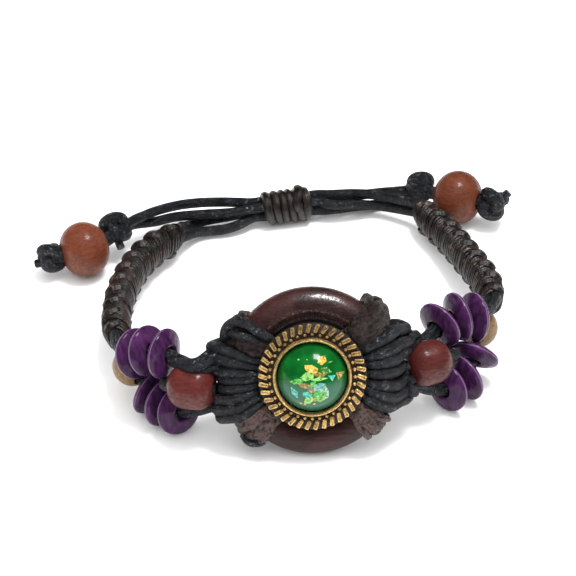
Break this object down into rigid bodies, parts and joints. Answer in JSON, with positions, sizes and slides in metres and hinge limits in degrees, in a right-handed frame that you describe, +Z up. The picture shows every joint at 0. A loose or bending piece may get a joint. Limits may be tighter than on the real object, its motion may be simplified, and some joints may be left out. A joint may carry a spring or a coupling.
{
  "type": "wooden bead bracelet",
  "caption": "Adjustable knotted-cord bracelet with a wooden ring that holds a stone in a brass setting, strings of discs and wooden beads, two knotted bands and a sliding knot.",
  "frame": {"origin": "on the surface that the bracelet lies on, under the middle of its box without the free drawcords and what is on them", "axes": "+Z up from the surface; the ring with the stone faces -Y and the sliding knot is at +Y; +X is the right side as the picture shows it"},
  "size_m": [0.0881, 0.0807, 0.0262],
  "materials": {
    "dark_wood": "polished dark maroon wood with faint streaks",
    "antique_brass": "antiqued gold, dark in the hollows and bright on the high edges",
    "green_stone": "glassy green cabochon with flakes of other colours inside",
    "black_cord": "waxed bluish black cord",
    "brown_cord": "waxed dark brown cord",
    "purple_disc": "glossy dyed purple with streaks",
    "mauve_wood": "satin reddish wood with fine grain",
    "olive_wood": "satin olive-tan wood",
    "orange_wood": "satin orange-brown wood"
  },
  "bodies": {
    "root": {"wood_ring": "dark_wood", "setting": "antique_brass", "stone": "green_stone", "cord_wrap_left": "black_cord", "cord_wrap_right": "black_cord", "binding_top_left": "brown_cord", "binding_top_right": "brown_cord", "binding_bottom_left": "brown_cord", "binding_bottom_right": "brown_cord", "thread_left_upper": "black_cord", "thread_left_middle": "black_cord", "thread_left_lower": "black_cord", "thread_right_upper": "black_cord", "thread_right_middle": "black_cord", "thread_right_lower": "black_cord", "disc_left_upper_1": "purple_disc", "disc_left_upper_2": "purple_disc", "disc_left_upper_3": "purple_disc", "disc_left_lower_1": "purple_disc", "disc_left_lower_2": "purple_disc", "disc_left_lower_3": "purple_disc", "disc_right_upper_1": "purple_disc", "disc_right_upper_2": "purple_disc", "disc_right_upper_3": "purple_disc", "disc_right_lower_1": "purple_disc", "disc_right_lower_2": "purple_disc", "disc_right_lower_3": "purple_disc", "front_bead_left": "mauve_wood", "front_bead_right": "mauve_wood", "side_bead_left": "olive_wood", "side_bead_right": "olive_wood", "band_left": "brown_cord", "band_right": "brown_cord", "sliding_knot": "brown_cord", "drawcord_left_1": "black_cord", "drawcord_left_2": "black_cord", "drawcord_right_1": "black_cord", "drawcord_right_2": "black_cord", "stopper_knot_left": "black_cord", "stopper_knot_right": "black_cord", "end_bead_left": "orange_wood", "end_bead_right": "orange_wood", "end_knot_left": "black_cord", "end_knot_right": "black_cord"}
  },
  "joints": []
}
